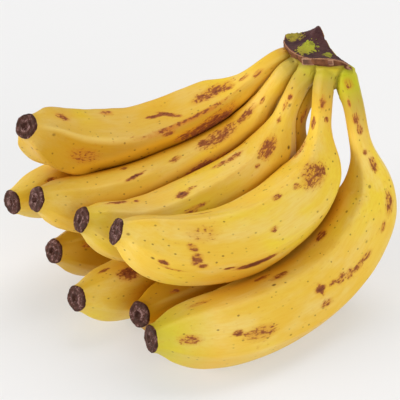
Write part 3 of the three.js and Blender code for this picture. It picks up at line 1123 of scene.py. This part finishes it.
def scales_tree():
    """Sets scales side by side along a path, each a little different, and roughens them."""
    tree, given, result = new_group(
        "Bract scales",
        "Geometry Geometry, Spacing Float, Scale Size Vector, Unevenness Float, Seed Int, "
        "Roughness Depth Float, Scar Material", "Geometry Geometry", "GeometryNodeTree")
    path = geometry(tree, "MeshToCurve", {"Mesh": given["Geometry"]})
    spots = geometry(tree, "ResampleCurve", {"Curve": path, "Length": given["Spacing"]}, mode="LENGTH")
    block = geometry(tree, "MeshCube", {"Vertices X": 7, "Vertices Y": 5, "Vertices Z": 3})
    place = geometry(tree, "InputPosition")
    split = follow("ShaderNodeSeparateXYZ", {0: place})
    outer = maths("MAXIMUM", maths("ABSOLUTE", split[0]), maths("ABSOLUTE", split[1]))
    edge = {"Geometry": block, "Name": "worn", "Value": fade(outer, 0.3, 0.48)}
    block = geometry(tree, "StoreNamedAttribute", edge, data_type="FLOAT", domain="POINT")
    scale = geometry(tree, "SubdivisionSurface", {"Mesh": block, "Level": 2})
    outward = field(tree, "outward", "FLOAT_VECTOR")
    ways = {"Primary Axis": geometry(tree, "InputTangent"), "Secondary Axis": outward}
    facing = follow("FunctionNodeAxesToRotation", ways, primary_axis="X", secondary_axis="Z")[0]
    least = minus(1.0, given["Unevenness"])
    most = plus(1.0, given["Unevenness"])
    low, high = (follow("ShaderNodeCombineXYZ", enumerate([size] * 3))[0] for size in (least, most))
    range_of_sizes = {0: low, 1: high, "Seed": given["Seed"]}
    varied = follow("FunctionNodeRandomValue", range_of_sizes, data_type="FLOAT_VECTOR")[0]
    taper = field(tree, "taper")
    narrowed = follow("ShaderNodeCombineXYZ", {0: 1.0, 1: taper, 2: taper})[0]
    size = vector_maths("MULTIPLY", varied, given["Scale Size"])
    scales = geometry(tree, "InstanceOnPoints", {
        "Points": spots, "Instance": scale, "Rotation": facing,
        "Scale": vector_maths("MULTIPLY", size, narrowed),
    })
    real = geometry(tree, "RealizeInstances", {"Geometry": scales})
    rough = times(minus(grain(place, 1.6 * MM, 3.0), 0.5), given["Roughness Depth"])
    out = {0: geometry(tree, "InputNormal"), 3: rough}
    shift = follow("ShaderNodeVectorMath", out, operation="SCALE")[0]
    moved = geometry(tree, "SetPosition", {"Geometry": real, "Offset": shift})
    return end_tree(tree, moved, given["Scar"], result)


def scar_path():
    """A path along the middle of the scar, with the way that it faces and its taper."""
    rim = CUT_FACE.starts[CUT_FACE.is_front]
    rim = rim[(rim[:, 0] > SCALES_FROM) & (rim[:, 0] < SCALES_TO)]
    rim = rim[np.argsort(rim @ ALONG_RIM)]
    kept = [rim[0]]
    for point in rim[1:]:
        if np.linalg.norm(point - kept[-1]) > RIM_STEP:
            kept.append(point)
    rim = np.array(kept)
    outward = np.cross(np.gradient(rim, axis=0), UPWARD)
    outward /= np.linalg.norm(outward, axis=1)[:, None]
    taper = np.maximum(scar_taper(rim), 0.3)
    points = rim - outward * SCALE_TUCK - UPWARD * (SCAR_WIDTH / 2 * taper)[:, None]
    mesh = bpy.data.meshes.new("bract_scar")
    mesh.from_pydata([tuple(point) for point in points], [(i, i + 1) for i in range(len(points) - 1)], [])
    write(mesh, "taper", taper)
    write(mesh, "outward", outward)
    return mesh


def scar_material():
    material, tree, shader, place = new_material("corky_scar")
    cork = place_group(CORKY, {"Place": place, "Worn": attribute(tree, "worn")})
    dress(shader, cork["Colour"], cork["Roughness"], cork["Height"], 0.6, SCALE_RELIEF)
    return material


def make_scar():
    mesh = grown(scar_path(), scales_tree(), {
        "Spacing": SCALE_SPACING, "Scale Size": SCALE_SIZE, "Unevenness": SCALE_UNEVENNESS,
        "Seed": SCALE_SEED, "Roughness Depth": SCALE_ROUGHNESS, "Scar": scar_material(),
    })
    piece = placed("bract_scar", mesh)
    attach(piece, "root")


make_scar()


# ---- Table ----
# A plain pale board that the hand lies on, so wide that its edge is never seen. It is dull, and it gives off
# some light of its own, which keeps the shadows on it light.

BOARD = (0.495, 0.45, 0.425, 1)
BOARD_GLOW = (0.845, 0.945, 1.0, 1)
BOARD_GLOW_STRENGTH = 0.435
BOARD_HALF = 3.0


def make_table():
    mesh = bpy.data.meshes.new("table")
    corners = [(x * BOARD_HALF, y * BOARD_HALF, 0) for x, y in ((-1, -1), (1, -1), (1, 1), (-1, 1))]
    mesh.from_pydata(corners, [], [(0, 1, 2, 3)])
    material, _, shader, _ = new_material("pale_board")
    looks = {
        "Base Color": BOARD, "Roughness": 1.0, "Specular IOR Level": 0.0,
        "Emission Color": BOARD_GLOW, "Emission Strength": BOARD_GLOW_STRENGTH,
    }
    for name, value in looks.items():
        shader[name].default_value = value
    mesh.materials.append(material)
    placed("table", mesh)


make_table()


# ---- Light and camera ----
# A plain bright studio: even light from all round, a broad low key from the left, a low fill from the front
# right, and a softer light from high up behind. The camera looks down on the hand from in front.

WORLD_STRENGTH = 0.435
SUNS = [
    # [name, energy, spread, height and turn in degrees]
    ("side_key", 3.3, 45, 8, -78),
    ("low_fill", 2.25, 60, 3, 32),
    ("back_light", 1.3, 46, 64, 158),
]
CAMERA_HEIGHT = math.radians(30)
CAMERA_DISTANCE = 0.85
CAMERA_LENS = 156.8
AIM_FORWARD = -0.0118


def make_light():
    world = bpy.data.worlds.new("studio")
    bpy.context.scene.world = world
    world.use_nodes = True
    background = world.node_tree.nodes["Background"].inputs
    background["Color"].default_value = (1, 1, 1, 1)
    background["Strength"].default_value = WORLD_STRENGTH
    for name, energy, spread, height, turn in SUNS:
        lamp = bpy.data.lights.new(name, "SUN")
        lamp.energy = energy
        lamp.angle = math.radians(spread)
        placed(name, lamp).rotation_euler = (math.radians(90 - height), 0, math.radians(turn))
    bpy.context.scene.view_settings.view_transform = "Standard"


def make_camera():
    aim = Vector((0, AIM_FORWARD, (cad_low.z + cad_high.z) / 2))
    lens = bpy.data.cameras.new("camera")
    lens.lens = CAMERA_LENS
    camera = placed("camera", lens)
    back = Vector((0, -math.cos(CAMERA_HEIGHT), math.sin(CAMERA_HEIGHT)))
    camera.location = aim + CAMERA_DISTANCE * back
    camera.rotation_euler = (math.pi / 2 - CAMERA_HEIGHT, 0, 0)
    bpy.context.scene.camera = camera


make_light()
make_camera()
